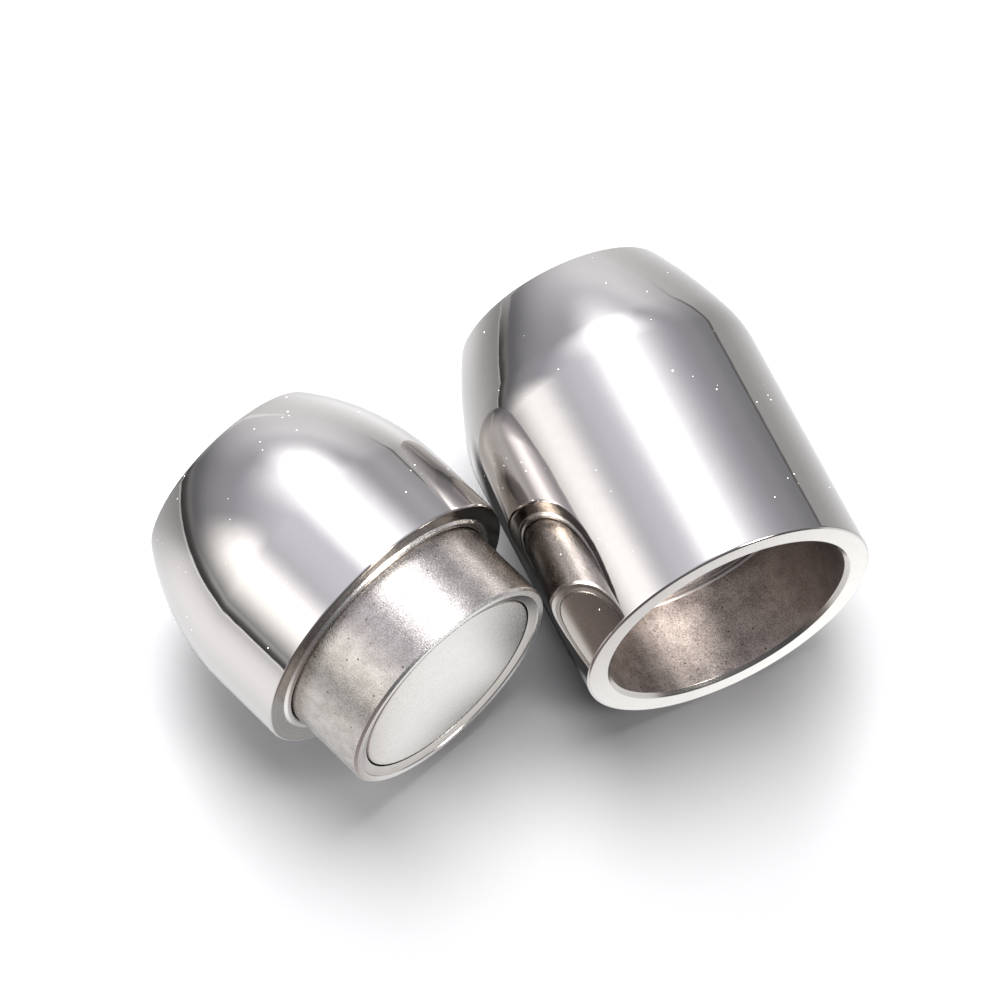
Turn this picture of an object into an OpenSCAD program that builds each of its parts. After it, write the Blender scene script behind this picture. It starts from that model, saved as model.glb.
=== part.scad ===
// Magnetic clasp for a round cord: two turned steel halves that lie side by side.
// The plug half carries a short steel cup with a magnet in its end.
// The socket half carries a bore that takes the cup, with a magnet in its floor.
// Each half is drawn along its own axis, with the meeting plane at 0 and the mouth towards +Z,
// and is then laid down on the surface.

/* [Shells] */
// Outside diameter of both shells
shell_d = 12; // [11:0.1:14]
// Radius of the arc that blends the straight side into the dome
blend_r = 4.8; // [3:0.1:4.8]
// Radius of the rounding on the edge of each mouth
edge_r = 0.1; // [0.05:0.01:0.2]

/* [Plug half] */
// Length of the shell, from its shoulder to its cord end
plug_shell_len = 8.65; // [8:0.05:12]
// Length of the shell's straight side
plug_straight = 3.5; // [2:0.1:3.7]
// Radius of the dome behind the straight side
plug_dome_r = 10; // [8:0.5:14]
// Diameter of the flat face at the cord end
plug_end_d = 8.6; // [8.2:0.1:9]
// Length of the cup that stands out of the shoulder
plug_len = 3.6; // [2.8:0.1:3.8]
// Depth of the seat that holds the cup in the shell
seat_depth = 1.6; // [1:0.1:2]
// Chamfer around the mouth of that seat
seat_chamfer = 0.15; // [0.05:0.01:0.3]
// Chamfer around the cup's end
cup_chamfer = 0.1; // [0.05:0.01:0.2]
// Width of the flat rim at the cup's end
cup_rim_w = 0.24; // [0.15:0.01:0.3]

/* [Socket half] */
// Length of the shell, from its rim to its cord end
socket_shell_len = 14.6; // [14:0.1:20]
// Length of the shell's straight side
socket_straight = 9.8; // [8:0.1:9.9]
// Radius of the dome behind the straight side
socket_dome_r = 20; // [15:1:26]
// Diameter of the flat face at the cord end
socket_end_d = 8.8; // [8.2:0.1:9]
// Diameter of the bore that takes the plug half's cup
bore_d = 10; // [9.8:0.05:10.4]
// Depth of that bore, from the rim to its floor
bore_depth = 3.9; // [3.7:0.1:4.6]
// Chamfer around the bore's mouth
bore_chamfer = 0.16; // [0.05:0.01:0.25]

/* [Magnets] */
// Diameter of each magnet
magnet_d = 8.3; // [7.5:0.1:8.6]
// Thickness of each magnet
magnet_t = 2.5; // [2:0.1:3]
// Chamfer on each magnet's edges
magnet_chamfer = 0.06; // [0.03:0.01:0.15]
// Depth of the plug magnet's face below the cup's end
plug_recess = 0.15; // [0.05:0.01:0.4]
// Depth of the socket magnet's face below the bore's floor
socket_recess = 0.1; // [0.05:0.01:0.4]
// Chamfer around the pocket in the bore's floor
pocket_chamfer = 0.15; // [0.05:0.01:0.3]

/* [Cord holes] */
// Diameter of the hole for the cord in each half
cord_d = 7; // [4:0.5:7.5]
// Depth of the cord hole in the plug half
plug_cord_depth = 5.5; // [3:0.1:6]
// Depth of the cord hole in the socket half
socket_cord_depth = 7; // [4:0.1:7.4]
// Chamfer around each cord hole's mouth
cord_chamfer = 0.2; // [0.1:0.05:0.3]

/* [Fits] */
// Radial play between the cup and the bore
plug_play = 0.07; // [0.05:0.01:0.15]
// Gap between the cup and its seat
cup_gap = 0.04; // [0.02:0.01:0.1]
// Gap between a magnet and its pocket
magnet_gap = 0.06; // [0.03:0.01:0.15]

/* [Lying] */
// Turn of the plug half from the socket half's direction
lie_turn = 17.5; // [0:0.5:30]
// How far the plug half's shoulder lies behind the socket half's rim
lie_back = 5.5; // [4:0.1:8]
// Gap between the two halves where they come closest
lie_gap = 0.15; // [0.1:0.05:2]

/* [Hidden] */
$fn = 96;

// How far a cutting tool runs past the face that it cuts
over = 1;
shell_r = shell_d / 2;
bore_r = bore_d / 2;
cup_r = bore_r - plug_play;
seat_r = cup_r + cup_gap;
magnet_r = magnet_d / 2;
pocket_r = magnet_r + magnet_gap;
cord_r = cord_d / 2;
cup_mouth_r = cup_r - cup_chamfer - cup_rim_w;

// Point at which two circles meet, on the side nearer the axis
function meeting(a, a_r, b, b_r) =
    let (gap = norm(b - a), u = (b - a) / gap)
    let (along = (a_r * a_r - b_r * b_r + gap * gap) / (2 * gap))
    a + along * u + sqrt(a_r * a_r - along * along) * [u.y, -u.x];

// Centre of the blend arc, as [radius, height] along a half's axis
function blend_centre(straight) = [shell_r - blend_r, -straight];

// Centre of a dome that passes through the end's edge and runs on from the blend arc
function dome_centre(straight, dome_r, end) =
    meeting(blend_centre(straight), dome_r - blend_r, end, dome_r);

// Point at which the blend arc runs into the dome
function joining(blend, dome, dome_r) = dome + dome_r * (blend - dome) / norm(blend - dome);

// Farthest reach of the plug half's shell to the side, measured from the middle of its shoulder
plug_end = [plug_end_d / 2, -plug_shell_len];
plug_blend = blend_centre(plug_straight);
plug_dome = dome_centre(plug_straight, plug_dome_r, plug_end);
plug_join = joining(plug_blend, plug_dome, plug_dome_r);
across = [cos(lie_turn), -sin(lie_turn)];
blend_angle = asin((plug_join.x - plug_dome.x) / plug_dome_r);
end_angle = asin((plug_end.x - plug_dome.x) / plug_dome_r);
reach = 90 - lie_turn > blend_angle ? plug_blend * across + blend_r
    : 90 - lie_turn > end_angle ? plug_dome * across + plug_dome_r
    : plug_end * across;

// The plug half lies beside the socket half, which points along -Y with its rim at 0
shoulder_side = (shell_r - edge_r) * cos(lie_turn) + edge_r;
cup_side = cup_r * cos(lie_turn) + (plug_len - cup_chamfer) * sin(lie_turn);
plug_x = -shell_r - lie_gap - max(shoulder_side, cup_side);
plug_y = lie_back;
low_x = plug_x - reach;
low_y = min(0, plug_y - plug_len * cos(lie_turn) - (cup_r - cup_chamfer) * sin(lie_turn));
high_y = max(socket_shell_len, plug_y + plug_shell_len * cos(lie_turn) + plug_end.x * sin(lie_turn));
middle = [(low_x + shell_r) / 2, (low_y + high_y) / 2];

// Half outline of a shell: straight side with a rounded mouth edge, blend arc and dome
module shell_outline(len, straight, dome_r, end_r) {
    blend = blend_centre(straight);
    dome = dome_centre(straight, dome_r, [end_r, -len]);
    join = joining(blend, dome, dome_r);
    translate([0, -len]) square([end_r, len]);
    translate([0, -straight]) square([shell_r, straight - edge_r]);
    translate([0, -2 * edge_r]) square([shell_r - edge_r, 2 * edge_r]);
    translate([shell_r - edge_r, -edge_r]) circle(r = edge_r);
    intersection() {
        translate(blend) circle(r = blend_r);
        translate([0, join.y]) square([shell_r, -straight - join.y]);
    }
    intersection() {
        translate(dome) circle(r = dome_r);
        translate([0, -len]) square([shell_r, len + join.y]);
    }
}

// Cutting tool for a hole that goes down from a face at height z, with a chamfer at its mouth
module hole(z, r, depth, chamfer) {
    translate([0, 0, z - depth]) cylinder(h = depth + over, r = r);
    translate([0, 0, z - chamfer]) cylinder(h = chamfer, r1 = r, r2 = r + chamfer);
}

// Cutting tool for the cord's hole, which goes in from the cord end
module cord_hole(len, depth) {
    mirror([0, 0, 1]) hole(len, cord_r, depth, cord_chamfer);
}

module magnet(face_z) {
    inner_r = magnet_r - magnet_chamfer;
    translate([0, 0, face_z - magnet_chamfer]) cylinder(h = magnet_chamfer, r1 = magnet_r, r2 = inner_r);
    translate([0, 0, face_z - magnet_t + magnet_chamfer]) cylinder(h = magnet_t - 2 * magnet_chamfer, r = magnet_r);
    translate([0, 0, face_z - magnet_t]) cylinder(h = magnet_chamfer, r1 = inner_r, r2 = magnet_r);
}

// Lays a half down with its mouth towards -Y, turned about the upright
module lay(at, turn) {
    translate([at.x - middle.x, at.y - middle.y, shell_r]) rotate([90, 0, turn]) children();
}

module lay_plug() {
    lay([plug_x, plug_y], lie_turn) children();
}

module lay_socket() {
    lay([0, 0], 0) children();
}

// Polished shell of the plug half, with a seat for the cup and a hole for the cord
module plug_shell() {
    color([0.80, 0.79, 0.78]) lay_plug() difference() {
        rotate_extrude() shell_outline(plug_shell_len, plug_straight, plug_dome_r, plug_end.x);
        hole(0, seat_r, seat_depth, seat_chamfer);
        cord_hole(plug_shell_len, plug_cord_depth);
    }
}

// Satin cup that stands out of the shoulder and carries the magnet
module plug_cup() {
    back = -seat_depth + cup_gap;
    color([0.66, 0.64, 0.61]) lay_plug() difference() {
        union() {
            translate([0, 0, back]) cylinder(h = plug_len - cup_chamfer - back, r = cup_r);
            translate([0, 0, plug_len - cup_chamfer])
                cylinder(h = cup_chamfer, r1 = cup_r, r2 = cup_r - cup_chamfer);
        }
        translate([0, 0, plug_len - plug_recess - magnet_t - magnet_gap])
            cylinder(h = magnet_t + plug_recess + over, r = pocket_r);
        translate([0, 0, plug_len - plug_recess])
            cylinder(h = plug_recess, r1 = pocket_r, r2 = cup_mouth_r);
    }
}

module plug_magnet() {
    color([0.86, 0.86, 0.84]) lay_plug() magnet(plug_len - plug_recess);
}

// Polished shell of the socket half, with the bore, the magnet's pocket and a hole for the cord
module socket_shell() {
    color([0.82, 0.81, 0.80]) lay_socket() difference() {
        rotate_extrude() shell_outline(socket_shell_len, socket_straight, socket_dome_r, socket_end_d / 2);
        hole(0, bore_r, bore_depth, bore_chamfer);
        hole(-bore_depth, pocket_r, magnet_t + socket_recess + magnet_gap, pocket_chamfer);
        cord_hole(socket_shell_len, socket_cord_depth);
    }
}

module socket_magnet() {
    color([0.70, 0.70, 0.69]) lay_socket() magnet(-bore_depth - socket_recess);
}

plug_shell();
plug_cup();
plug_magnet();
socket_shell();
socket_magnet();
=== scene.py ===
# %% [markdown]
# # A magnetic clasp, dressed for a product photograph
# The clasp is two turned steel halves that lie side by side on a pale board. The plug half carries a short
# satin cup with a magnet in its end, and the socket half has a blasted bore that takes the cup. The packed
# CAD model says where everything is, and this lesson gives it the surfaces of real steel. All of it is turned on
# a lathe, so one rule makes every piece: a half outline, swept round.

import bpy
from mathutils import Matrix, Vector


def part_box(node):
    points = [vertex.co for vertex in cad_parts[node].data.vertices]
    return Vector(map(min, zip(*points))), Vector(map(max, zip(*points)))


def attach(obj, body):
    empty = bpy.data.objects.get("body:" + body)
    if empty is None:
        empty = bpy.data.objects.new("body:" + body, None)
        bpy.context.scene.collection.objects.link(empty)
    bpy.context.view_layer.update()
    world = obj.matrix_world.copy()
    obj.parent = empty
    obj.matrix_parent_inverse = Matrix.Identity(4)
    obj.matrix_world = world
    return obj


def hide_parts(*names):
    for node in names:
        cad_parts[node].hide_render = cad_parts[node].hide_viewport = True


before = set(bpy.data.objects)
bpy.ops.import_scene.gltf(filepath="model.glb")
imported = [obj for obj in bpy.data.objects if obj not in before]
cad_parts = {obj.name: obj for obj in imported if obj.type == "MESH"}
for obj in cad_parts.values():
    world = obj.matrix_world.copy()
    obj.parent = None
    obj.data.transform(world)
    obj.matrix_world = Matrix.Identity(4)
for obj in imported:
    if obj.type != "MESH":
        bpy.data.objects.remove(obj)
print("CAD nodes:", sorted(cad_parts))

# %% Millimetres
import math

import bpy
from mathutils import Euler, Vector

MM = 0.001
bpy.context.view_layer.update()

# %% [markdown]
# ## The camera
# The two mouths in the photograph are circles seen at a slant, and their outlines give the camera more exactly
# than moving it by eye: about 63 degrees above the board and a little to the left of the socket half's axis,
# far away behind a long lens, so that the halves hardly shrink with distance.

# %% Place the camera
CAMERA_AZIMUTH = math.radians(-25.5)
CAMERA_ELEVATION = math.radians(63.33)
CAMERA_DISTANCE = 360 * MM
LENS_LENGTH = 336.8
LOOK_AT = Vector((0.815, 0.902, 6.0)) * MM


def new_object(name, data):
    """A new object with the given data, linked to the scene."""
    thing = bpy.data.objects.new(name, data)
    bpy.context.scene.collection.objects.link(thing)
    return thing


towards_camera = Vector((
    math.sin(CAMERA_AZIMUTH) * math.cos(CAMERA_ELEVATION),
    -math.cos(CAMERA_AZIMUTH) * math.cos(CAMERA_ELEVATION),
    math.sin(CAMERA_ELEVATION),
))
camera_data = bpy.data.cameras.new("product_camera")
camera_data.lens = LENS_LENGTH
camera_data.clip_start = 10 * MM
camera_data.clip_end = 5000 * MM
camera = new_object("product_camera", camera_data)
camera.location = LOOK_AT + towards_camera * CAMERA_DISTANCE
camera.rotation_mode = "QUATERNION"
camera.rotation_quaternion = (-towards_camera).to_track_quat("-Z", "Y")
bpy.context.scene.camera = camera
print("camera stands at", [round(v / MM, 1) for v in camera.location], "mm")

# %% [markdown]
# ## Small helpers for node trees
# Node trees can be drawn by hand, but in code they can be read and run again. These helpers add a node, join
# its sockets and set its values in one line, so the cells below read as recipes. They know nothing about the
# clasp.

# %% Node helpers
FLOAT = "NodeSocketFloat"


def add_node(tree, kind, inputs=None, **settings):
    """A new node with its settings and inputs. An input is a value, or a socket to join to."""
    node = tree.nodes.new(kind)
    for name, value in settings.items():
        setattr(node, name, value)
    for key, value in (inputs or {}).items():
        if isinstance(value, bpy.types.NodeSocket):
            tree.links.new(value, node.inputs[key])
        else:
            node.inputs[key].default_value = value
    return node


def feed(tree, node, sockets):
    """Joins each socket to the node's input of its name."""
    for name, socket in sockets.items():
        tree.links.new(socket, node.inputs[name])


def new_group(name, kind, inputs, outputs):
    """An empty node group with named sockets, and its input and output nodes."""
    group = bpy.data.node_groups.new(name, kind)
    for socket, (socket_type, default) in inputs.items():
        made = group.interface.new_socket(socket, in_out="INPUT", socket_type=socket_type)
        if default is not None:
            made.default_value = default
    for socket, socket_type in outputs.items():
        group.interface.new_socket(socket, in_out="OUTPUT", socket_type=socket_type)
    return group, group.nodes.new("NodeGroupInput"), group.nodes.new("NodeGroupOutput")


print("helpers for nodes and groups are ready")

# %% Arithmetic helpers
def math_node(tree, operation, *values):
    """The result of a Math node on one, two or three values or sockets."""
    return add_node(tree, "ShaderNodeMath", dict(enumerate(values)), operation=operation).outputs[0]


def product(tree, first, *others):
    """Values or sockets multiplied together, from left to right."""
    for other in others:
        first = math_node(tree, "MULTIPLY", first, other)
    return first


def blend(tree, factor, first, second):
    """Goes from the first value to the second as the factor goes from 0 to 1."""
    return math_node(tree, "MULTIPLY_ADD", math_node(tree, "SUBTRACT", second, first), factor, first)


def fade(tree, value, start, end, low=0.0, high=1.0):
    """Runs smoothly from low at start to high at end. Start may lie above end."""
    inputs = {"Value": value, "From Min": start, "From Max": end, "To Min": low, "To Max": high}
    return add_node(tree, "ShaderNodeMapRange", inputs, interpolation_type="SMOOTHSTEP").outputs["Result"]


def from_noise(tree, noise, low=0.0, high=1.0):
    """Noise lies mostly between 0.3 and 0.7. This stretches it to run from low to high."""
    return fade(tree, noise, 0.3, 0.7, low, high)


print("helpers for arithmetic are ready")

# %% [markdown]
# ## The turned half outlines
# A lathe part is known from half of its section. It could be stacked up from cylinders with bevels, but one
# line is easier to keep clean. Each outline is a list of corners, as radius and height in millimetres along
# the part's own axis, with the meeting plane of the halves at height 0 and the mouth upwards. Real corners are
# never sharp, so each gets a small rounding to catch the light. A corner also names the finish of the stretch
# after it. The sizes are those of the CAD source, so each piece stands where its CAD solid is.

# %% Rounded corners
FINE = 0.012
ARC_STEP = math.radians(15)
LONGEST_CUT = 0.45
LONGEST_HOLD = 0.2


def rounded(corners):
    """Points (radius, height, finish) of an outline with corners (radius, height, rounding, finish)."""
    points = []
    last = len(corners) - 1
    for i, (r, z, rounding, finish) in enumerate(corners):
        here = Vector((r, z))
        before = corners[i - 1][3] if i else finish
        if not rounding or i in (0, last):
            points.append((r, z, finish))
            continue
        back = Vector(corners[i - 1][:2]) - here
        ahead = Vector(corners[i + 1][:2]) - here
        half = back.angle(ahead) / 2
        length = min(rounding / math.tan(half), LONGEST_CUT * back.length, LONGEST_CUT * ahead.length)
        radius = length * math.tan(half)
        hold = min(2 * length, LONGEST_HOLD * min(back.length, ahead.length))
        start = here + back.normalized() * length
        end = here + ahead.normalized() * length
        centre = here + (back.normalized() + ahead.normalized()).normalized() * radius / math.sin(half)
        steps = max(3, round((math.pi - 2 * half) / ARC_STEP))
        points.append((*(start + back.normalized() * hold), before))
        for k in range(steps + 1):
            spoke = (start - centre).slerp(end - centre, k / steps)
            points.append((*(centre + spoke * radius), before if k < steps / 2 else finish))
        points.append((*(end + ahead.normalized() * hold), finish))
    return points


print("a square corner gets", len(rounded([(0, 0, 0, 0), (1, 0, FINE, 0), (1, -1, 0, 0)])) - 2, "points")

# %% [markdown]
# ## The bullet shape
# Both shells have a straight side that blends through an arc of 4.8 mm into a wide, shallow dome. Arc and
# dome touch without a corner, but their curvature changes at once, and in the photograph the reflections bend
# right there. Few points under a subdivision would smooth that away, so the outline is made of true arcs.

# %% Sizes and finishes of the shells, in millimetres
SHELL_R = 6.0
BLEND_R = 4.8
MOUTH_EDGE = 0.1
CORD_R = 3.5
CORD_CHAMFER = 0.2
POCKET_R = 4.21
PLUG_SHELL = {"length": 8.65, "straight": 3.5, "dome_r": 10, "end_r": 4.3, "cord_depth": 5.5}
SOCKET_SHELL = {"length": 14.6, "straight": 9.8, "dome_r": 20, "end_r": 4.4, "cord_depth": 7}
POLISHED, RIM, BORE, TURNED = range(4)
print("plug shell, in mm:", PLUG_SHELL)

# %% Side and cord end of a shell
EDGE_POINTS = 8
ARC_POINTS = 48


def arc(centre, radius, start, end, count):
    """Polished points along an arc, from one angle to another, without the first one."""
    angles = [start + (end - start) * (k + 1) / count for k in range(count)]
    return [(centre.x + radius * math.cos(a), centre.y + radius * math.sin(a), POLISHED) for a in angles]


def bullet_side(length, straight, dome_r, end_r):
    """Outside of a shell from its mouth edge to the edge of its cord end."""
    blend_centre = Vector((SHELL_R - BLEND_R, -straight))
    end = Vector((end_r, -length))
    gap = end - blend_centre
    inner = dome_r - BLEND_R
    along = (inner ** 2 - dome_r ** 2 + gap.length_squared) / (2 * gap.length)
    unit = gap.normalized()
    dome = blend_centre + unit * along + Vector((unit.y, -unit.x)) * math.sqrt(inner ** 2 - along ** 2)
    join = math.atan2(blend_centre.y - dome.y, blend_centre.x - dome.x)
    stop = math.atan2(end.y - dome.y, end.x - dome.x)
    edge_centre = Vector((SHELL_R - MOUTH_EDGE, -MOUTH_EDGE))
    side = [(edge_centre.x, 0.0, POLISHED)] + arc(edge_centre, MOUTH_EDGE, math.pi / 2, 0, EDGE_POINTS)
    side += [(SHELL_R, height, POLISHED) for height in (
        -MOUTH_EDGE - 0.02, -straight / 2, 0.05 - straight, -straight)]
    side += arc(blend_centre, BLEND_R, 0, join, ARC_POINTS)
    return side + arc(dome, dome_r, join, stop, ARC_POINTS)[:-1]


def cord_end(length, depth, end_r):
    """Flat cord end, the hole for the cord and its floor, down to the axis."""
    return rounded([
        (end_r + 0.05, 0.15 - length, 0, POLISHED),
        (end_r, -length, FINE, TURNED),
        (CORD_R + CORD_CHAMFER, -length, FINE, TURNED),
        (CORD_R, CORD_CHAMFER - length, FINE, TURNED),
        (CORD_R, depth - length, 0.08, TURNED),
        (0, depth - length, 0, TURNED),
    ])[1:]


def outside(length, straight, dome_r, end_r, cord_depth):
    """Outline from the mouth edge, round the cord end and into its hole, to the axis."""
    return bullet_side(length, straight, dome_r, end_r) + cord_end(length, cord_depth, end_r)


plug_outside, socket_outside = outside(**PLUG_SHELL), outside(**SOCKET_SHELL)
print("outside points:", len(plug_outside), "on the plug half,", len(socket_outside), "on the socket half")

# %% [markdown]
# ## The shoulder and its tool marks
# The shoulder round the cup was faced on the lathe. The tool leaves a fine spiral, which looks like closely
# spaced rings. A bump could draw them, but here they are wide enough to see, so they are cut into the outline
# as real grooves a few thousandths of a millimetre deep. Finer ones, here and on the cord ends, are left to
# the material. Between shoulder and cup stands a low raised ring.

# %% Grooves of the facing tool
def faced(inner_r, outer_r, pitch, depth):
    """A turned face at height 0 with rings of tool marks of unequal depth, from inner to outer radius."""
    count = round((outer_r - inner_r) / pitch)
    step = (outer_r - inner_r) / count
    points = []
    for k in range(count):
        low = depth * (0.45 + 0.55 * abs(math.sin(2.4 * k)))
        points += [(inner_r + step * (k + share), height, TURNED)
                   for share, height in ((0.12, 0), (0.50, -low), (0.88, 0))]
    return points


shoulder = faced(inner_r=5.37, outer_r=SHELL_R - MOUTH_EDGE, pitch=0.09, depth=0.003)
print("the shoulder has", len(shoulder) // 3, "rings of tool marks")

# %% Plug shell outline
SEAT_R = 4.97
SEAT_DEPTH = 1.6
seat_hole = rounded([
    (0, -SEAT_DEPTH, 0, TURNED),
    (SEAT_R, -SEAT_DEPTH, 0.05, TURNED),
    (SEAT_R, 0.05, 0.03, RIM),
    (SEAT_R + 0.09, 0.12, 0.05, RIM),
    (SEAT_R + 0.21, 0.09, 0.07, RIM),
    (SEAT_R + 0.31, -0.03, 0.02, TURNED),
    (SEAT_R + 0.36, 0, FINE, TURNED),
    (5.5, 0, 0, TURNED),
])[:-1]
plug_shell_outline = seat_hole + shoulder + plug_outside
print("plug shell outline:", len(plug_shell_outline), "points")

# %% [markdown]
# ## The socket's mouth
# The bore is 10 mm wide and 3.9 mm deep, with a small chamfer at its mouth. Wall and floor were blasted with
# grit, and the flat rim was left satin. The tool left a shallow groove in the floor and a narrow bright edge
# where floor and wall meet. Each could be a mesh of its own, but the metal is one piece, so one outline runs
# through them all and only changes its finish on the way.

# %% Socket shell outline
BORE_R = 5.0
BORE_DEPTH = 3.9
socket_inside = rounded([
    (0, -6.56, 0, BORE),
    (POCKET_R, -6.56, 0.05, BORE),
    (POCKET_R, -4.05, FINE, BORE),
    (POCKET_R + 0.15, -BORE_DEPTH, FINE, BORE),
    (4.58, -BORE_DEPTH, FINE, BORE),
    (4.62, -3.94, 0.01, RIM),
    (4.70, -BORE_DEPTH, FINE, BORE),
    (BORE_R - 0.07, -BORE_DEPTH, FINE, RIM),
    (BORE_R, -3.83, FINE, BORE),
    (BORE_R, -0.16, 0.02, TURNED),
    (BORE_R + 0.16, 0, 0.02, RIM),
    (SHELL_R - MOUTH_EDGE - 0.03, 0, 0, RIM),
])
socket_shell_outline = socket_inside + socket_outside
print("socket shell outline:", len(socket_shell_outline), "points")

# %% [markdown]
# ## The cup and the magnets
# The cup stands 3.6 mm out of the shoulder. Its end has a small outer chamfer, a narrow flat rim and a wider
# inner bevel that leads down to the magnet, which sits 0.15 mm below the rim behind a hair-thin gap. Both
# magnets are plain plated discs with softly rounded edges. A painted circle could stand for that gap, but a
# real one keeps its shadow from every side, so cup and magnets are turned as pieces of their own.

# %% Cup and magnet outlines
CUP_R = 4.93
CUP_TOP = 3.6
CUP_FOOT = -1.56
MAGNET_R = 4.15
MAGNET_THICKNESS = 2.5
PLUG_MAGNET_FACE = 3.45
SOCKET_MAGNET_FACE = -4.0
CUP, CUP_RIM, CUP_BEVEL = range(3)
cup_outline = rounded([
    (0, 0.89, 0, CUP_BEVEL),
    (POCKET_R, 0.89, 0.05, CUP_BEVEL),
    (POCKET_R, PLUG_MAGNET_FACE, FINE, CUP_BEVEL),
    (4.56, 3.56, 0.008, CUP_BEVEL),
    (4.59, CUP_TOP, 0.012, CUP_RIM),
    (CUP_R - 0.1, CUP_TOP, 0.015, CUP_RIM),
    (CUP_R, 3.5, 0.03, CUP),
    (CUP_R, CUP_FOOT, 0.05, CUP_BEVEL),
    (0, CUP_FOOT, 0, CUP_BEVEL),
])


def magnet_outline(face):
    """A disc with its face at the given height. It has one finish, number 0."""
    return rounded([
        (0, face - MAGNET_THICKNESS, 0, 0),
        (MAGNET_R, face - MAGNET_THICKNESS, 0.06, 0),
        (MAGNET_R, face, 0.06, 0),
        (0, face, 0, 0),
    ])[::-1]


print("cup outline:", len(cup_outline), "points; magnet outline:", len(magnet_outline(0)))

# %% [markdown]
# ## Shared effects for the metals
# Real metal is never one colour and one gloss. Three effects turn up on more than one of these finishes: a
# grain from blasting or plating, rings from the lathe tool, and specks, which are dust on polished steel and
# pits in blasted steel. Each material could have its own, but as node groups they are built once and get
# their own numbers in each place. They give only masks, values and heights. Sizes are in millimetres.

# %% Grain group
PATCHES_PER_GRAIN = 0.09
SPECKS_PER_GRAIN = 0.7
grain, grain_in, grain_out = new_group(
    "metal_grain", "ShaderNodeTree",
    {"Vector": ("NodeSocketVector", None), "Size": (FLOAT, 0.05), "Contrast": (FLOAT, 0.5)},
    {"Height": FLOAT, "Patches": FLOAT, "Specks": FLOAT},
)
grain_vector = grain_in.outputs["Vector"]
per_metre = math_node(grain, "DIVIDE", 1 / MM, grain_in.outputs["Size"])
fine_noise = add_node(grain, "ShaderNodeTexNoise", {
    "Vector": grain_vector, "Scale": per_metre, "Detail": 3.0, "Roughness": 0.65})
patch_noise = add_node(grain, "ShaderNodeTexNoise", {
    "Vector": grain_vector, "Scale": product(grain, per_metre, PATCHES_PER_GRAIN),
    "Detail": 4.0, "Roughness": 0.6})
speck_cells = add_node(grain, "ShaderNodeTexVoronoi", {
    "Vector": grain_vector, "Scale": product(grain, per_metre, SPECKS_PER_GRAIN)})
patches = fade(grain, patch_noise.outputs[0], 0.34, 0.66)
half_contrast = product(grain, grain_in.outputs["Contrast"], 0.5)
centred = math_node(grain, "SUBTRACT", patches, 0.5)
feed(grain, grain_out, {
    "Height": fine_noise.outputs[0],
    "Patches": math_node(grain, "MULTIPLY_ADD", centred, half_contrast, 0.5),
    "Specks": fade(grain, speck_cells.outputs["Distance"], 0.22, 0.10),
})
print("metal_grain:", len(grain.nodes), "nodes")

# %% Lathe rings group
BANDS_PER_RING = 0.13
rings, rings_in, rings_out = new_group(
    "lathe_rings", "ShaderNodeTree",
    {"Vector": ("NodeSocketVector", None), "Pitch": (FLOAT, 0.05)},
    {"Height": FLOAT, "Bands": FLOAT},
)
flat = add_node(rings, "ShaderNodeVectorMath", {0: rings_in.outputs["Vector"], 1: (1, 1, 0)},
                operation="MULTIPLY").outputs[0]
from_axis = add_node(rings, "ShaderNodeVectorMath", {0: flat}, operation="LENGTH").outputs["Value"]
ring_count = math_node(rings, "DIVIDE", math_node(rings, "DIVIDE", from_axis, MM), rings_in.outputs["Pitch"])
ring_noise = add_node(rings, "ShaderNodeTexNoise", {
    "W": ring_count, "Scale": 1.0, "Detail": 2.0}, noise_dimensions="1D")
band_noise = add_node(rings, "ShaderNodeTexNoise", {
    "W": product(rings, ring_count, BANDS_PER_RING), "Scale": 1.0, "Detail": 3.0}, noise_dimensions="1D")
feed(rings, rings_out, {
    "Height": ring_noise.outputs[0], "Bands": from_noise(rings, band_noise.outputs[0])})
print("lathe_rings:", len(rings.nodes), "nodes")

# %% Dust group
AREAS_PER_SPECK = 0.14
dust, dust_in, dust_out = new_group(
    "dust_specks", "ShaderNodeTree",
    {"Vector": ("NodeSocketVector", None), "Spacing": (FLOAT, 0.5), "Size": (FLOAT, 0.05),
     "Share": (FLOAT, 0.3)},
    {"Mask": FLOAT},
)
dust_vector = dust_in.outputs["Vector"]
dust_scale = math_node(dust, "DIVIDE", 1 / MM, dust_in.outputs["Spacing"])
dust_cells = add_node(dust, "ShaderNodeTexVoronoi", {"Vector": dust_vector, "Scale": dust_scale})
lot = add_node(dust, "ShaderNodeSeparateColor", {0: dust_cells.outputs["Color"]})
dusty_area = add_node(dust, "ShaderNodeTexNoise", {
    "Vector": dust_vector, "Scale": product(dust, dust_scale, AREAS_PER_SPECK), "Detail": 1.0})
chance = product(dust, dust_in.outputs["Share"], fade(dust, dusty_area.outputs[0], 0.45, 0.62, 0.15, 1.0))
chosen = math_node(dust, "LESS_THAN", lot.outputs[0], chance)
reach = math_node(dust, "DIVIDE", dust_in.outputs["Size"], dust_in.outputs["Spacing"])
reach = product(dust, reach, fade(dust, lot.outputs[1], 0.0, 1.0, 0.35, 1.0))
near = fade(dust, math_node(dust, "DIVIDE", dust_cells.outputs["Distance"], reach), 1.0, 0.6)
feed(dust, dust_out, {"Mask": product(dust, near, chosen)})
print("dust_specks:", len(dust.nodes), "nodes")

# %% [markdown]
# ## The finishes
# Every finish is a bare metal, so Metallic is 1 everywhere but under dust. What tells them apart is roughness
# and fine relief: a mirror on the shells, a soft sheen on the cup, brown and grainy in the bore. Patterns that
# follow the lathe need coordinates along each half's own axis. A UV map could give them, but a Mapping node
# does it without one: it lays the clasp's coordinates back into the half's frame.

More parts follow.
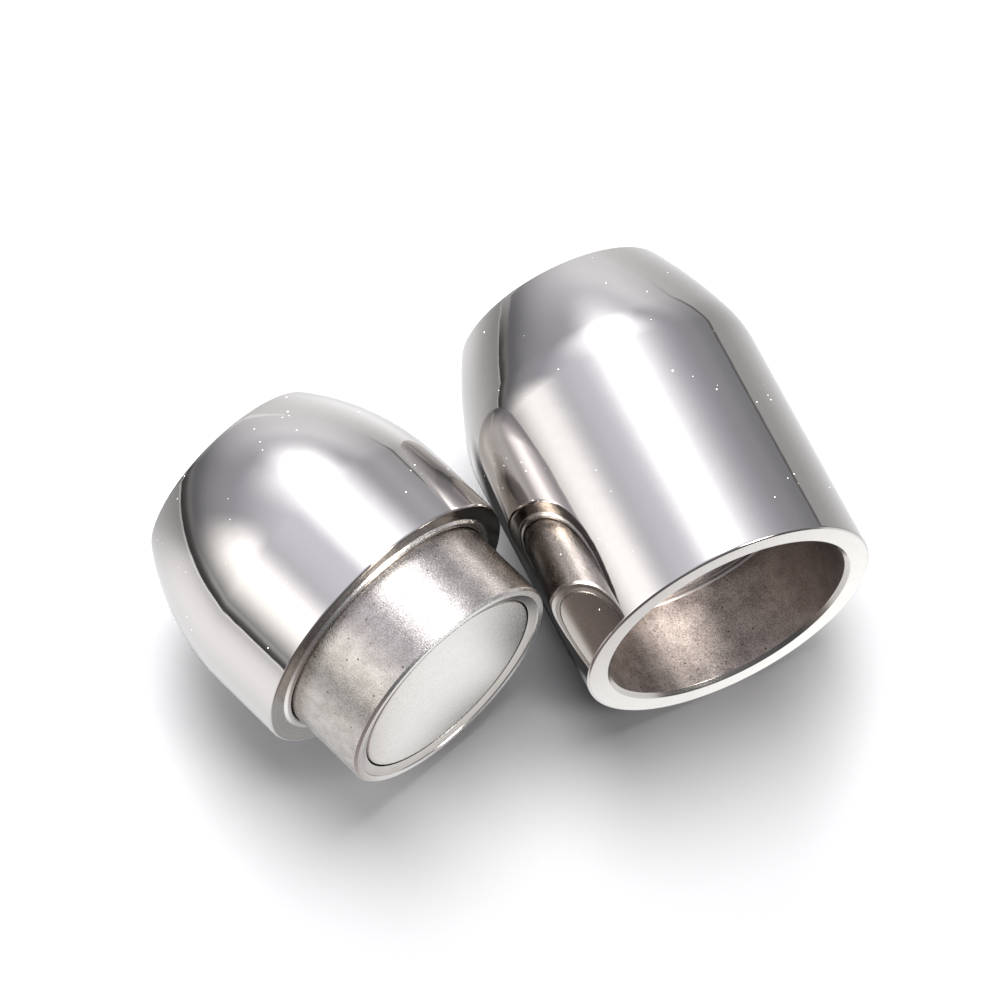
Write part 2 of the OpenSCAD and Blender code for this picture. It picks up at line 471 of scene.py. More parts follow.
# %% Where each half lies
PLUG = (Vector((-5.3925, -2.0213, 6.0)) * MM, math.radians(17.5))
SOCKET = (Vector((6.512, -7.521, 6.0)) * MM, 0.0)


def along_axis(tree, place, turn):
    """Coordinates in a half's own frame. Its axis Z lies down, mouth to the front, and is then turned."""
    coordinates = add_node(tree, "ShaderNodeTexCoord").outputs["Object"]
    return add_node(tree, "ShaderNodeMapping", {
        "Vector": coordinates, "Location": place, "Rotation": Euler((math.pi / 2, 0, turn))},
        vector_type="TEXTURE").outputs["Vector"]


print("plug half lies turned by", round(math.degrees(PLUG[1]), 1), "degrees")

# %% Helpers for the metals
def effect(tree, group, **inputs):
    """The outputs of one of the shared effects, placed in a tree with its own values."""
    return add_node(tree, "ShaderNodeGroup", inputs, node_tree=group).outputs


def mix_colour(tree, factor, first, second):
    """Goes from the first colour to the second as the factor goes from 0 to 1."""
    node = add_node(tree, "ShaderNodeMix", {"Factor": factor}, data_type="RGBA")
    for socket, value in ((node.inputs[6], first), (node.inputs[7], second)):
        if isinstance(value, bpy.types.NodeSocket):
            tree.links.new(value, socket)
        else:
            socket.default_value = (*value, 1)
    return node.outputs[2]


def new_metal(name, half):
    """A metal with nothing joined yet: its material, tree, shader and coordinates."""
    material = bpy.data.materials.new(name)
    material.use_nodes = True
    tree = material.node_tree
    shader = tree.nodes["Principled BSDF"]
    shader.inputs["Metallic"].default_value = 1.0
    return material, tree, shader, along_axis(tree, *half)


def add_relief(tree, shader, height, strength, depth):
    """Fine relief on a shader's surface, up to a depth in millimetres."""
    bump = add_node(tree, "ShaderNodeBump", {"Strength": strength, "Distance": depth * MM, "Height": height})
    feed(tree, shader, {"Normal": bump.outputs["Normal"]})


print("helpers for metals are ready")

# %% [markdown]
# ### Polished steel
# The mirror. With one roughness all over it would look drawn. Real reflections are crisp but not perfect:
# buffing leaves slow waves and faint changes of gloss, which the grain group gives at large sizes, and dust
# specks catch the light. On its own the colour is warm and rather dark, to balance the studio's white below.

# %% Polished steel
DUST_GREY = (0.7, 0.7, 0.68)


def polished_steel(name, half):
    """Buffed steel with waves, haze and dust."""
    material, tree, shader, vector = new_metal(name, half)
    waves = effect(tree, grain, Vector=vector, Size=2.6, Contrast=1.0)["Height"]
    haze = effect(tree, grain, Vector=vector, Size=0.5, Contrast=1.0)
    specks = effect(tree, dust, Vector=vector, Spacing=0.42, Size=0.038, Share=0.9)["Mask"]
    steel = mix_colour(tree, haze["Patches"], (0.601, 0.566, 0.538), (0.632, 0.598, 0.571))
    gloss = from_noise(tree, haze["Height"], 0.035, 0.065)
    feed(tree, shader, {
        "Base Color": mix_colour(tree, specks, steel, DUST_GREY),
        "Roughness": math_node(tree, "MULTIPLY_ADD", specks, 0.6, gloss),
        "Metallic": math_node(tree, "SUBTRACT", 1.0, specks),
    })
    add_relief(tree, shader, math_node(tree, "MULTIPLY_ADD", specks, 0.5, waves), strength=0.35, depth=0.02)
    return material


plug_polish = polished_steel("polished_steel_plug", PLUG)
socket_polish = polished_steel("polished_steel_socket", SOCKET)
print("polished steel:", len(plug_polish.node_tree.nodes), "nodes")

# %% [markdown]
# ### Satin and blasted steel
# The cup is fine and even, the rims are nearly white, and the bore is coarse, darker and brown. They could be
# four recipes, but all are steel with a grain, so one recipe serves them with different numbers. The bore needs
# two things more. Marks that run round its wall draw the gloss out along the axis, as an anisotropic gloss
# with a radial tangent does. Its right side is darker in the photograph, where it lies in shade, and that shade
# is painted into the colour: it fades to a dark tone across the bore.

# %% The streak and the painted shade on a blasted bore's right side
QUARTER_TURN = 0.25
# Painted shade: the dark tone the bore's right side fades to, and how much of it is laid on.
BORE_PAINTED_SHADE = (0.15, 0.128, 0.120)
PAINTED_SHADE_SHARE = 0.7


def draw_out_gloss(tree, shader, spread):
    """Draws the gloss out along the axis, as marks that run round it do."""
    shader.inputs["Anisotropic"].default_value = spread
    shader.inputs["Anisotropic Rotation"].default_value = QUARTER_TURN
    around = add_node(tree, "ShaderNodeTangent", direction_type="RADIAL", axis="Y")
    feed(tree, shader, {"Tangent": around.outputs["Tangent"]})


def painted_shade_right_side(tree, vector, colour):
    """Paints shade: fades a colour towards a dark tone on the right of the half's axis."""
    sideways = add_node(tree, "ShaderNodeSeparateXYZ", {0: vector}).outputs["X"]
    return mix_colour(tree, fade(tree, sideways, 1.2 * MM, 4.6 * MM, 0.0, PAINTED_SHADE_SHARE), colour, BORE_PAINTED_SHADE)


print("the bore's right side is shaded by", round(100 * PAINTED_SHADE_SHARE), "percent")

# %% Grained steel
BARE_SPECK = (0.93, 0.92, 0.90)
PIT_BROWN = (0.15, 0.115, 0.10)
GLOSS_CHANGE = 0.07


def grained_steel(name, half, dark, light, roughness, size, depth, contrast, speck, pits=0.0, spread=0.0):
    """Steel with a grain of the given size and depth in millimetres. A spread makes it a bore's wall."""
    material, tree, shader, vector = new_metal(name, half)
    texture = effect(tree, grain, Vector=vector, Size=size, Contrast=contrast)
    height = texture["Height"]
    fine = from_noise(tree, height, -0.5, 0.5)
    tone = math_node(tree, "MULTIPLY_ADD", fine, contrast, texture["Patches"])
    colour = mix_colour(tree, tone, dark, light)
    colour = mix_colour(tree, product(tree, texture["Specks"], speck), colour, BARE_SPECK)
    # A bore's wall: painted shade on its right side, and its gloss drawn out along the axis.
    if spread:
        colour = painted_shade_right_side(tree, vector, colour)
        draw_out_gloss(tree, shader, spread)
    pitted = effect(tree, dust, Vector=vector, Spacing=0.22, Size=0.06, Share=pits)["Mask"]
    feed(tree, shader, {
        "Base Color": mix_colour(tree, pitted, colour, PIT_BROWN),
        "Roughness": from_noise(tree, height, roughness - GLOSS_CHANGE, roughness + GLOSS_CHANGE),
    })
    add_relief(tree, shader, height, strength=0.6, depth=depth)
    return material


cup_satin = grained_steel(
    "satin_steel_cup", PLUG, dark=(0.35, 0.313, 0.285), light=(0.595, 0.550, 0.508),
    roughness=0.22, size=0.055, depth=0.018, contrast=0.85, speck=0.3, pits=0.5)
plug_rim = grained_steel(
    "satin_steel_plug_rim", PLUG, dark=(0.86, 0.835, 0.80), light=(0.94, 0.92, 0.885),
    roughness=0.28, size=0.05, depth=0.006, contrast=0.5, speck=0.3)
socket_rim = grained_steel(
    "satin_steel_socket_rim", SOCKET, dark=(0.765, 0.73, 0.685), light=(0.845, 0.815, 0.77),
    roughness=0.34, size=0.06, depth=0.008, contrast=0.6, speck=0.4)
# The bore's spread also paints shade on its right side.
bore_blast = grained_steel(
    "blasted_steel_bore", SOCKET, dark=(0.30, 0.254, 0.241), light=(0.74, 0.662, 0.624),
    roughness=0.34, size=0.062, depth=0.032, contrast=0.9, speck=0.4, pits=0.6, spread=0.85)
print("grained steels:", [m.name for m in (cup_satin, plug_rim, socket_rim, bore_blast)])

# %% [markdown]
# ### Turned steel
# The shoulder, the cup's bevel and the cord ends keep the marks of the lathe tool. Modelled rings this fine
# would cost more faces than they are worth, so the rings group gives them: slightly different height and tone
# round the axis, over a little of the same grain.

# %% Turned steel
def turned_steel(name, half):
    """Steel as the lathe tool left it."""
    material, tree, shader, vector = new_metal(name, half)
    marks = effect(tree, rings, Vector=vector, Pitch=0.035)
    texture = effect(tree, grain, Vector=vector, Size=0.08, Contrast=0.8)
    tone = math_node(tree, "MULTIPLY_ADD", marks["Bands"], 0.5, product(tree, texture["Patches"], 0.5))
    feed(tree, shader, {
        "Base Color": mix_colour(tree, tone, (0.455, 0.42, 0.385), (0.60, 0.565, 0.52)),
        "Roughness": from_noise(tree, marks["Height"], 0.14, 0.24),
    })
    relief = math_node(tree, "MULTIPLY_ADD", texture["Height"], 0.3, marks["Height"])
    add_relief(tree, shader, relief, strength=0.5, depth=0.003)
    return material


plug_turned = turned_steel("turned_steel_plug", PLUG)
socket_turned = turned_steel("turned_steel_socket", SOCKET)
print("turned steel:", len(plug_turned.node_tree.nodes), "nodes")

# %% [markdown]
# ### Nickel plate
# The magnets are plated. The coat is pale, slightly warm and softly matt. A plain satin metal would come
# close, but the plate has a fine grain with small bright specks, and faint rings that show through it.

# %% Nickel plate
PLATE_SPECK = (0.97, 0.96, 0.95)


def nickel_plate(name, half):
    """Pale plate with a fine grain."""
    material, tree, shader, vector = new_metal(name, half)
    texture = effect(tree, grain, Vector=vector, Size=0.06, Contrast=0.6)
    marks = effect(tree, rings, Vector=vector, Pitch=0.12)
    colour = mix_colour(tree, texture["Patches"], (0.83, 0.80, 0.75), (0.90, 0.87, 0.82))
    bright = product(tree, texture["Specks"], 0.35)
    feed(tree, shader, {
        "Base Color": mix_colour(tree, bright, colour, PLATE_SPECK),
        "Roughness": from_noise(tree, texture["Height"], 0.24, 0.34),
    })
    relief = math_node(tree, "MULTIPLY_ADD", marks["Height"], 0.15, texture["Height"])
    add_relief(tree, shader, relief, strength=0.5, depth=0.006)
    return material


plug_nickel = nickel_plate("nickel_plate_plug", PLUG)
socket_nickel = nickel_plate("nickel_plate_socket", SOCKET)
print("nickel plate:", len(plug_nickel.node_tree.nodes), "nodes")

# %% [markdown]
# ## The lathe, as Geometry Nodes
# A lathe follows one rule: every point of the half outline runs round the axis. A Screw modifier would turn
# it too, but would lose which stretch has which finish. So the tree takes the outline as a line of points,
# lays out a flat grid with one column of vertices for each outline point, and bends the grid round the axis.
# Each face keeps the finish number of its outline stretch, and the tree ends by giving the faces their
# materials. One recipe makes a tree like this for each of the five pieces.

# %% The lathe's grid
SEGMENTS = 256


def outline_grid(tree, outline, segments):
    """A flat grid with a column for each outline point, its column numbers and its angles round the axis."""
    size = add_node(tree, "GeometryNodeAttributeDomainSize", {"Geometry": outline}, component="MESH")
    count = size.outputs["Point Count"]
    grid = add_node(tree, "GeometryNodeMeshGrid", {
        "Size X": 1.0, "Size Y": 1.0, "Vertices X": count,
        "Vertices Y": math_node(tree, "ADD", segments, 1.0)})
    at = add_node(tree, "ShaderNodeSeparateXYZ", {0: add_node(tree, "GeometryNodeInputPosition").outputs[0]})
    column = product(tree, math_node(tree, "ADD", at.outputs["X"], 0.5),
                     math_node(tree, "SUBTRACT", count, 1.0))
    return grid.outputs["Mesh"], column, product(tree, at.outputs["Y"], math.tau)


def finish_number(tree):
    """The finish number that the outline's points and the grid's faces carry."""
    return add_node(tree, "GeometryNodeInputNamedAttribute", {"Name": "finish"},
                    data_type="INT").outputs["Attribute"]


def from_outline(tree, outline, value, index, data_type):
    """What the outline holds at the point of the given number."""
    return add_node(tree, "GeometryNodeSampleIndex", {"Geometry": outline, "Value": value, "Index": index},
                    data_type=data_type, domain="POINT").outputs[0]


print("each piece gets", SEGMENTS, "segments round its axis")

# %% The lathe tree
MERGE_DISTANCE = 0.0001 * MM


def lathe_tree(name, materials):
    """A Geometry Nodes tree that turns an outline and gives its finishes the materials, in order."""
    tree, group_in, group_out = new_group(name, "GeometryNodeTree", {
        "Outline": ("NodeSocketGeometry", None), "Segments": ("NodeSocketInt", SEGMENTS),
        "Place": ("NodeSocketVector", (0, 0, 0)), "Turn": (FLOAT, 0.0)}, {"Turned": "NodeSocketGeometry"})
    outline, segments, place, turn = (group_in.outputs[k] for k in ("Outline", "Segments", "Place", "Turn"))
    grid, column, angle = outline_grid(tree, outline, segments)
    on_face = from_outline(tree, outline, finish_number(tree), math_node(tree, "FLOOR", column), "INT")
    last = add_node(tree, "GeometryNodeStoreNamedAttribute", {
        "Geometry": grid, "Name": "finish", "Value": on_face}, data_type="INT", domain="FACE").outputs[0]

    position = add_node(tree, "GeometryNodeInputPosition").outputs[0]
    point = from_outline(tree, outline, position, math_node(tree, "ROUND", column), "FLOAT_VECTOR")
    on_line = add_node(tree, "ShaderNodeSeparateXYZ", {0: point})
    bent = add_node(tree, "ShaderNodeCombineXYZ", {
        "X": product(tree, on_line.outputs["X"], math_node(tree, "COSINE", angle)),
        "Y": product(tree, on_line.outputs["X"], math_node(tree, "SINE", angle)),
        "Z": on_line.outputs["Z"]})
    rotation = add_node(tree, "ShaderNodeCombineXYZ", {"X": math.pi / 2, "Z": turn}).outputs[0]
    for kind, inputs in (
            ("GeometryNodeSetPosition", {"Position": bent.outputs[0]}),
            ("GeometryNodeMergeByDistance", {"Distance": MERGE_DISTANCE}),
            ("GeometryNodeSetShadeSmooth", {}),
            ("GeometryNodeTransform", {"Translation": place, "Rotation": rotation}),
            ("GeometryNodeRealizeInstances", {})):
        last = add_node(tree, kind, {"Geometry": last, **inputs}).outputs[0]
    for number, material in enumerate(materials):
        here = add_node(tree, "FunctionNodeCompare", {2: finish_number(tree), 3: number},
                        data_type="INT", operation="EQUAL").outputs[0]
        last = add_node(tree, "GeometryNodeSetMaterial", {
            "Geometry": last, "Selection": here, "Material": material}).outputs[0]
    feed(tree, group_out, {"Turned": last})
    return tree


print(f"points closer than {MERGE_DISTANCE / MM:.4f} mm are merged at the seam and the poles")

# %% Turn one outline
def turned_piece(name, outline, materials, half):
    """Turns an outline into a plain mesh that stands in for the CAD node of the same name."""
    line = bpy.data.meshes.new(name + "_outline")
    line.from_pydata([(r * MM, 0, z * MM) for r, z, _ in outline],
                     [(i, i + 1) for i in range(len(outline) - 1)], [])
    line.attributes.new("finish", "INT", "POINT").data.foreach_set("value", [f for _, _, f in outline])
    lathe = new_object(name + "_lathe", line)
    tree = lathe_tree(name + "_lathe", materials)
    modifier = lathe.modifiers.new("lathe", "NODES")
    modifier.node_group = tree
    wanted = dict(zip(("Place", "Turn"), half), Segments=SEGMENTS)
    for item in tree.interface.items_tree:
        if item.in_out == "INPUT" and item.name in wanted:
            modifier[item.identifier] = wanted[item.name]
    evaluated = lathe.evaluated_get(bpy.context.evaluated_depsgraph_get())
    mesh = bpy.data.meshes.new_from_object(evaluated)
    bpy.data.objects.remove(lathe)
    return new_object(name + "_turned", mesh)


def volume(mesh):
    """Volume of a closed mesh in cubic millimetres; negative if its faces point inwards."""
    mesh.calc_loop_triangles()
    corners = [v.co for v in mesh.vertices]
    total = sum(corners[a].dot(corners[b].cross(corners[c])) for a, b, c in
                (t.vertices for t in mesh.loop_triangles))
    return total / 6 / MM ** 3


print("the lathe is ready")

# %% [markdown]
# ## Turn the five pieces
# The CAD solids could stay and only get new materials, but a mirror shows each of their facets. So each piece
# replaces the CAD node of its name and rides on the root body. The printed lines compare its box with the
# node's: the two may differ only by the rounding.

# %% Turn and place the pieces
plug_metals = (plug_polish, plug_rim, bore_blast, plug_turned)
socket_metals = (socket_polish, socket_rim, bore_blast, socket_turned)
clasp = {
    "plug_shell": (plug_shell_outline, plug_metals, PLUG, "polished_steel"),
    "plug_cup": (cup_outline, (cup_satin, plug_rim, plug_turned), PLUG, "blasted_steel"),
    "plug_magnet": (magnet_outline(PLUG_MAGNET_FACE), (plug_nickel,), PLUG, "nickel_plate"),
    "socket_shell": (socket_shell_outline, socket_metals, SOCKET, "polished_steel"),
    "socket_magnet": (magnet_outline(SOCKET_MAGNET_FACE), (socket_nickel,), SOCKET, "nickel_plate"),
}
for name, (outline, metals, half, slot) in clasp.items():
    piece = turned_piece(name, outline, metals, half)
    if volume(piece.data) < 0:
        piece.data.flip_normals()
    corners = [Vector(c) for c in piece.bound_box]
    low, high = (Vector([pick(c[i] for c in corners) for i in range(3)]) for pick in (min, max))
    node_low, node_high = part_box(name)
    off = max(abs(v) for v in (*(low - node_low), *(high - node_high))) / MM
    print(f"{name}: {len(piece.data.loop_triangles)} triangles, {volume(piece.data):.1f} mm3, "
          f"box off by {off:.4f} mm")
    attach(piece, "root")
    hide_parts(name)

# %% [markdown]
# ## The board
# The clasp lies on a plain pale board, which the camera sees as white with one soft shadow. A matt plane
# would do for that, but polished metal sees further than the camera does: in the mirror of its flanks the
# board fades with distance, stays bright where it leads to a softbox, and ends in darkness on the left and in
# front. So the board has two faces, a matt one for camera rays and a glowing one for all others, and a Light
# Path node picks between them.

# %% Pale board
BOARD_HALF = 600 * MM
BOARD_DROP = 0.002 * MM
board_mesh = bpy.data.meshes.new("board")
board_mesh.from_pydata([(-BOARD_HALF, -BOARD_HALF, 0), (BOARD_HALF, -BOARD_HALF, 0),
                        (BOARD_HALF, BOARD_HALF, 0), (-BOARD_HALF, BOARD_HALF, 0)], [], [(0, 1, 2, 3)])
board = new_object("board", board_mesh)
board.location.z = -BOARD_DROP
board_material = bpy.data.materials.new("pale_board")
board_material.use_nodes = True
floor = board_material.node_tree
matt = floor.nodes["Principled BSDF"]
matt.inputs["Roughness"].default_value = 0.9
matt.inputs["Specular IOR Level"].default_value = 0.0
matt.inputs["Base Color"].default_value = (0.166, 0.164, 0.165, 1)
board_mesh.materials.append(board_material)
print("board:", 2 * BOARD_HALF, "m wide")

# %% [markdown]
# ### The board as the metal sees it
# The glow is painted in fixed places of the board, so it stays where it is when the camera moves. Each point
# knows its bearing from the clasp (0 straight behind, 90 to the right), its distance, and how far it lies
# along two fixed directions of the studio. An image could be laid on the board instead, but a few fades say
# where each bright or dark place is and can be moved one by one.

# %% Where a point of the board lies
STUDIO_RIGHT = (math.cos(CAMERA_AZIMUTH), math.sin(CAMERA_AZIMUTH), 0)
STUDIO_FRONT = (math.sin(CAMERA_AZIMUTH), -math.cos(CAMERA_AZIMUTH), 0)
floor_at = add_node(floor, "ShaderNodeTexCoord").outputs["Object"]
floor_xyz = add_node(floor, "ShaderNodeSeparateXYZ", {0: floor_at})
bearing = math_node(floor, "DEGREES", math_node(
    floor, "ARCTAN2", floor_xyz.outputs["X"], floor_xyz.outputs["Y"]))
distance = add_node(floor, "ShaderNodeVectorMath", {0: floor_at}, operation="LENGTH").outputs["Value"]
distance = math_node(floor, "DIVIDE", distance, MM)
across, nearer = (
    add_node(floor, "ShaderNodeVectorMath", {0: floor_at, 1: way}, operation="DOT_PRODUCT").outputs["Value"]
    for way in (STUDIO_RIGHT, STUDIO_FRONT))
print("the studio's right is", [round(v, 2) for v in STUDIO_RIGHT])

# %% The glow close by and towards the softboxes
GLOW_REACH = 12.5
RIGHT_REACH = 9.0
falloff = math_node(floor, "EXPONENT", math_node(floor, "DIVIDE", distance, -GLOW_REACH))
glow = math_node(floor, "MULTIPLY_ADD", falloff, 1.0, 0.33)
glow = math_node(floor, "ADD", glow, fade(floor, nearer, -4 * MM, 3 * MM, 0, 0.42))
glow = math_node(floor, "MINIMUM", glow, 0.97)
back_glow = product(floor, fade(floor, bearing, -25, 18, 0, 0.55), fade(floor, bearing, 66, 23),
                    fade(floor, distance, 8, 18))
right_falloff = math_node(floor, "EXPONENT", math_node(floor, "DIVIDE", distance, -RIGHT_REACH))
to_right = product(floor, fade(floor, bearing, 30, 60), fade(floor, bearing, 150, 115))
right_glow = product(floor, math_node(floor, "MULTIPLY_ADD", right_falloff, 0.95, 0.10), to_right)
glow = math_node(floor, "ADD", glow, math_node(floor, "ADD", back_glow, right_glow))
to_left = product(floor, fade(floor, bearing, -51, -78), fade(floor, bearing, -150, -110))
left_glow = math_node(floor, "SUBTRACT", fade(floor, distance, 8, 22, 0.75, 1.12),
                      fade(floor, distance, 22, 50, 0, 0.35))
glow = blend(floor, to_left, glow, left_glow)
print("glow near the clasp:", len(floor.nodes), "nodes so far")

# %% Where the board ends
BOARD_EDGE = -57 * MM
EDGE_SOFTNESS = 0.5 * MM


def dimmed(light, share):
    """A light without the given share of it."""
    return product(floor, light, math_node(floor, "SUBTRACT", 1.0, share))


on_board = math_node(floor, "MAXIMUM", fade(floor, bearing, -30, -12),
                     fade(floor, across, BOARD_EDGE - EDGE_SOFTNESS, BOARD_EDGE + EDGE_SOFTNESS))
border = fade(floor, across, BOARD_EDGE + 8 * MM, BOARD_EDGE + 5 * MM, 0, 0.22)
glow = math_node(floor, "ADD", glow, border)
beyond = math_node(floor, "MULTIPLY_ADD", fade(floor, bearing, -56, -78, 0.0, 0.22),
                   fade(floor, distance, 60, 200), fade(floor, distance, 45, 190, 0.05, 0.205))
glow = blend(floor, on_board, beyond, glow)
glow = dimmed(glow, product(floor, fade(floor, distance, 160, 220, 0, 0.65), fade(floor, bearing, 38, 55)))
print("the board ends", round(-BOARD_EDGE / MM), "mm to the left")

# %% [markdown]
# ### The dark contact under each half
# Where a round shell touches the board, hardly any light gets in, and the shell mirrors that as a dark strip
# low on its flank. A real shadow would need a board lit for all rays, so the strip is painted in the frame of
# each half. It is weaker on the plug's left, where light comes in low, and wider between the halves.

# %% Contact strips
STRIP_EDGE = 2.4
DARKEST = 0.95


def contact(half, front_end, back_end, left_side, reach, gap_reach):
    """How dark it is under a half. Its ends and its reach to each side are in millimetres."""
    spot = add_node(floor, "ShaderNodeSeparateXYZ", {0: along_axis(floor, *half)})
    sideways, height = spot.outputs["X"], spot.outputs["Z"]
    depth = fade(floor, sideways, -2 * MM, 2 * MM, left_side, DARKEST)
    wider = product(floor, fade(floor, sideways, -2 * MM, 2 * MM, 0, gap_reach * MM),
                    fade(floor, height, -7 * MM, -3 * MM))
    beside = math_node(floor, "SUBTRACT", math_node(floor, "ABSOLUTE", sideways), wider)
    near_it = fade(floor, beside, reach * MM, (reach - STRIP_EDGE) * MM)
    lengthwise = product(floor, fade(floor, height, (front_end + 1) * MM, (front_end - 1) * MM),
                         fade(floor, height, (back_end - 2) * MM, (back_end + 2) * MM))
    return product(floor, near_it, depth, lengthwise)


glow = dimmed(glow, contact(PLUG, front_end=4.6, back_end=-8.0, left_side=0.45, reach=6.7, gap_reach=2.3))
glow = dimmed(glow, contact(
    SOCKET, front_end=-0.9, back_end=-13.5, left_side=DARKEST, reach=7.3, gap_reach=0.0))
print("contact strips:", len(floor.nodes), "nodes so far")

# %% [markdown]
# ### The studio's white
# Light that goes from one half to the other and then to the camera has met the metal twice. In the
# photograph it comes out darker and a little warmer than light that met it once. Darker, warmer steel does
# that, but then the first reflections would be too dark and warm as well. So the studio's white is brighter
# than 1 and a little blue, and the two cancel out in the first reflection alone.

# %% The board's two faces
STUDIO_WHITE = (1.097, 1.136, 1.189)
FRONT_DIMMING = 0.78
in_front = product(floor, fade(floor, nearer, 9 * MM, 11.5 * MM),
                   fade(floor, math_node(floor, "ABSOLUTE", bearing), 115, 138))
glow = product(floor, glow, math_node(floor, "MULTIPLY_ADD", in_front, -FRONT_DIMMING, 1.0))
glow_colour = mix_colour(floor, in_front, (1.0, 0.985, 0.97), (1.0, 0.82, 0.77))
glow_colour = add_node(floor, "ShaderNodeVectorMath", {0: glow_colour, 1: STUDIO_WHITE},
                       operation="MULTIPLY").outputs[0]
glowing = add_node(floor, "ShaderNodeEmission", {"Color": glow_colour, "Strength": glow})
by_camera = add_node(floor, "ShaderNodeLightPath").outputs["Is Camera Ray"]
both = add_node(floor, "ShaderNodeMixShader", {0: by_camera, 1: glowing.outputs[0], 2: matt.outputs[0]})
floor.links.new(both.outputs[0], floor.nodes["Material Output"].inputs["Surface"])
board_material.cycles.emission_sampling = "NONE"
print("board material:", len(floor.nodes), "nodes")

# %% [markdown]
# ## Light for the board
# The camera's face of the board needs light that throws one soft shadow. The painted sky could do it, but
# only with much grain in the picture. Four round softboxes are cleaner: one above, one low behind, one low on
# the left and a weak one in front. They stay out of reflections, so the metal doesn't show them.

# %% Softboxes for the shadow
LAMP_DISTANCE = 420
LAMP_WIDTH = 300


def soft_lamp(name, azimuth_degrees, elevation_degrees, watts):
    """A round softbox that lights the board and stays out of all reflections."""
    around, high = math.radians(azimuth_degrees), math.radians(elevation_degrees)
    towards = Vector((math.sin(around) * math.cos(high), math.cos(around) * math.cos(high), math.sin(high)))
    data = bpy.data.lights.new(name, "AREA")
    data.shape = "DISK"
    data.size = LAMP_WIDTH * MM
    data.energy = watts
    lamp = new_object(name, data)
    lamp.visible_glossy = False
    lamp.location = towards * LAMP_DISTANCE * MM
    lamp.rotation_mode = "QUATERNION"
    lamp.rotation_quaternion = towards.to_track_quat("Z", "Y")
    print(name, "at", [round(v / MM) for v in lamp.location], "mm")


soft_lamp("softbox_above", 22, 75, 7.5)
soft_lamp("softbox_left", -70, 25, 4.6)
soft_lamp("softbox_behind", 22, 25, 7.7)
soft_lamp("softbox_front", 145, 40, 0.6)

# %% [markdown]
# ## The studio in the reflections
# Polished steel shows its surroundings, so what it mirrors is a picture of a studio. Real lamps and panels
# could stand round the clasp, but moving one would change the shadow too. Here they are painted on the sky by
# direction: a very large softbox above and behind with a bright key in it, a second one low on the left, a
# pale backdrop and dark gaps between them, and a front light that reaches into the bore. Each is the same
# node group with its own direction, size and softness in degrees, azimuth 0 being straight behind and 90 to
# the right. All azimuths meet at the zenith, where an edge would show as a ragged line in the shells, so the
# painted room is even up there and no softbox reaches it.

# %% Softbox group
softbox, softbox_in, softbox_out = new_group(
    "softbox", "ShaderNodeTree",
    {"Azimuth": (FLOAT, 0.0), "Elevation": (FLOAT, 0.0),
     "Left": (FLOAT, -30.0), "Left Fade": (FLOAT, 20.0), "Right": (FLOAT, 30.0), "Right Fade": (FLOAT, 20.0),
     "Bottom": (FLOAT, 20.0), "Bottom Fade": (FLOAT, 10.0), "Top": (FLOAT, 60.0), "Top Fade": (FLOAT, 10.0),
     "Strength": (FLOAT, 1.0)},
    {"Light": FLOAT},
)


def edge(value, place, softness):
    """0 before the edge and 1 after it, half way at its place."""
    start = math_node(softbox, "SUBTRACT", place, softness)
    end = math_node(softbox, "ADD", place, softness)
    return fade(softbox, value, start, end)


box_in = softbox_in.outputs
minus = {k: product(softbox, box_in[k], -1.0) for k in ("Azimuth", "Elevation", "Right", "Top")}
light = product(
    softbox, box_in["Strength"],
    edge(box_in["Azimuth"], box_in["Left"], box_in["Left Fade"]),
    edge(minus["Azimuth"], minus["Right"], box_in["Right Fade"]),
    edge(box_in["Elevation"], box_in["Bottom"], box_in["Bottom Fade"]),
    edge(minus["Elevation"], minus["Top"], box_in["Top Fade"]))
feed(softbox, softbox_out, {"Light": light})
print("softbox:", len(softbox.nodes), "nodes")

# %% The empty room
ROOM_TINT = (0.975, 0.962, 1.03)
world = bpy.data.worlds.new("studio")
bpy.context.scene.world = world
world.use_nodes = True
sky = world.node_tree
direction = add_node(sky, "ShaderNodeSeparateXYZ", {
    0: add_node(sky, "ShaderNodeTexCoord").outputs["Generated"]})
azimuth = math_node(sky, "DEGREES", math_node(sky, "ARCTAN2", direction.outputs["X"], direction.outputs["Y"]))
elevation = math_node(sky, "DEGREES", math_node(sky, "ARCSINE", direction.outputs["Z"]))


def tinted(light, colour):
    """A light's brightness with its colour."""
    return add_node(sky, "ShaderNodeVectorMath", {0: colour, "Scale": light}, operation="SCALE").outputs[0]


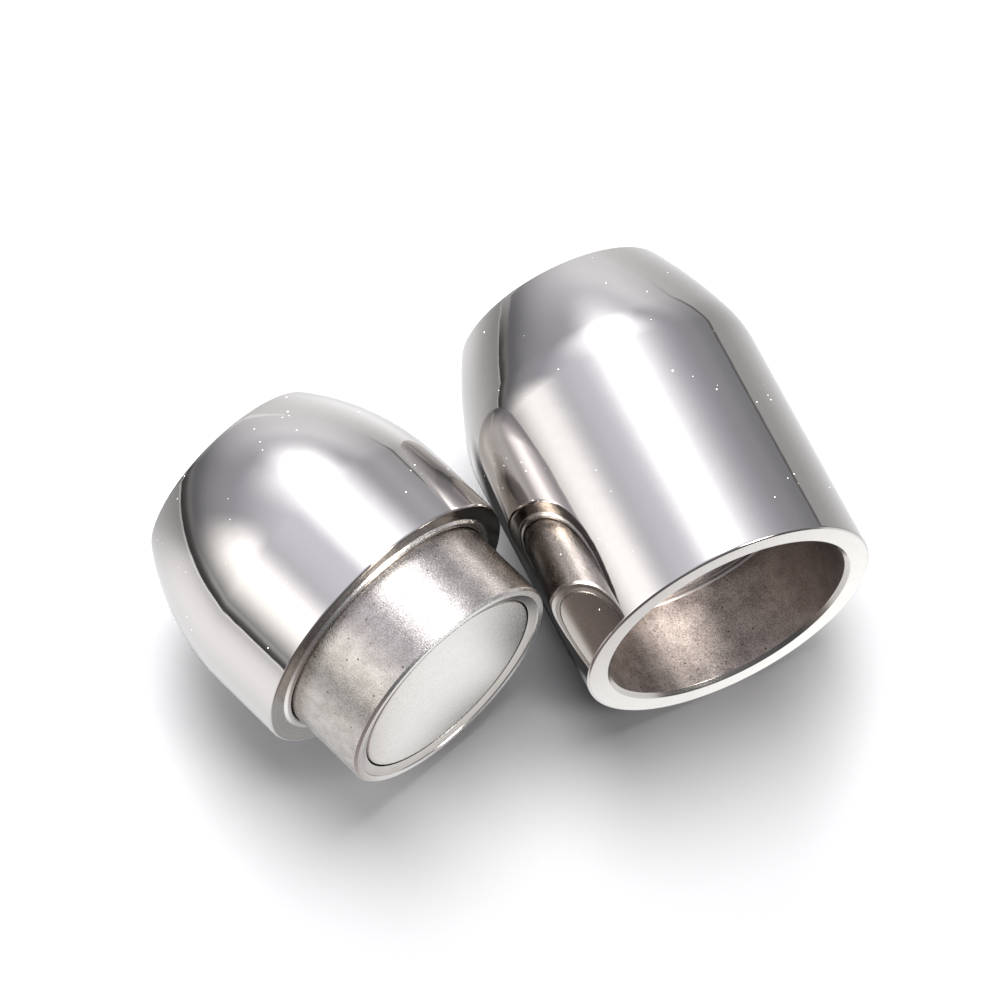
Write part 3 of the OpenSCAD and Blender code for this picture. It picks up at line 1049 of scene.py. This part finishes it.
room = fade(sky, elevation, 0.0, 72.0, 0.18, 0.90)
darker_in_front = fade(sky, math_node(sky, "ABSOLUTE", azimuth), 95.0, 135.0, 1.0, 0.45)
overhead = fade(sky, elevation, 70.0, 87.0)
room = product(sky, room, math_node(sky, "MAXIMUM", darker_in_front, overhead))
studio = tinted(room, ROOM_TINT)
print("the empty room:", len(sky.nodes), "nodes")

# %% Paint the softboxes
WHITE = (1, 1, 1)
painted_lights = {
    "back": (((-6, 36), (40, 25), (37.5, 12), (80, 8)), 1.9, WHITE),
    "lip": (((1, 12), (28, 10), (27, 8), (70, 7)), 0.85, WHITE),
    "haze": (((-58, 8), (-6, 14), (7, 6), (24, 8)), 0.09, WHITE),
    "right_haze": (((54, 10), (130, 20), (-20, 5), (20, 8)), 0.08, WHITE),
    "key": (((9, 7), (30, 7), (48, 7), (70, 7)), 8.0, WHITE),
    "backdrop": (((-4, 24), (48, 22), (-20, 5), (24, 12)), 0.70, WHITE),
    "left": (((-104, 6), (-59, 12), (8.5, 16), (41, 11)), 1.35, (1.03, 1.0, 0.93)),
    "front": (((135, 5), (150, 5), (30, 8), (50, 8)), 31.0, (1.0, 0.95, 0.88)),
}
for sides, strength, colour in painted_lights.values():
    values = {"Azimuth": azimuth, "Elevation": elevation, "Strength": strength}
    for side, (place, softness) in zip(("Left", "Right", "Bottom", "Top"), sides):
        values[side] = place
        values[side + " Fade"] = softness
    light = effect(sky, softbox, **values)["Light"]
    studio = add_node(sky, "ShaderNodeVectorMath", {0: studio, 1: tinted(light, colour)}).outputs[0]
print("painted lights:", list(painted_lights))

# %% Hang the sky
CAMERA_WHITE = (0.97, 0.97, 0.97)
studio = add_node(sky, "ShaderNodeVectorMath", {0: studio, 1: STUDIO_WHITE}, operation="MULTIPLY").outputs[0]
by_camera = add_node(sky, "ShaderNodeLightPath").outputs["Is Camera Ray"]
studio = mix_colour(sky, by_camera, studio, CAMERA_WHITE)
sky.links.new(studio, sky.nodes["Background"].inputs["Color"])
bpy.context.scene.view_settings.view_transform = "Standard"
print("studio sky:", len(sky.nodes), "nodes")
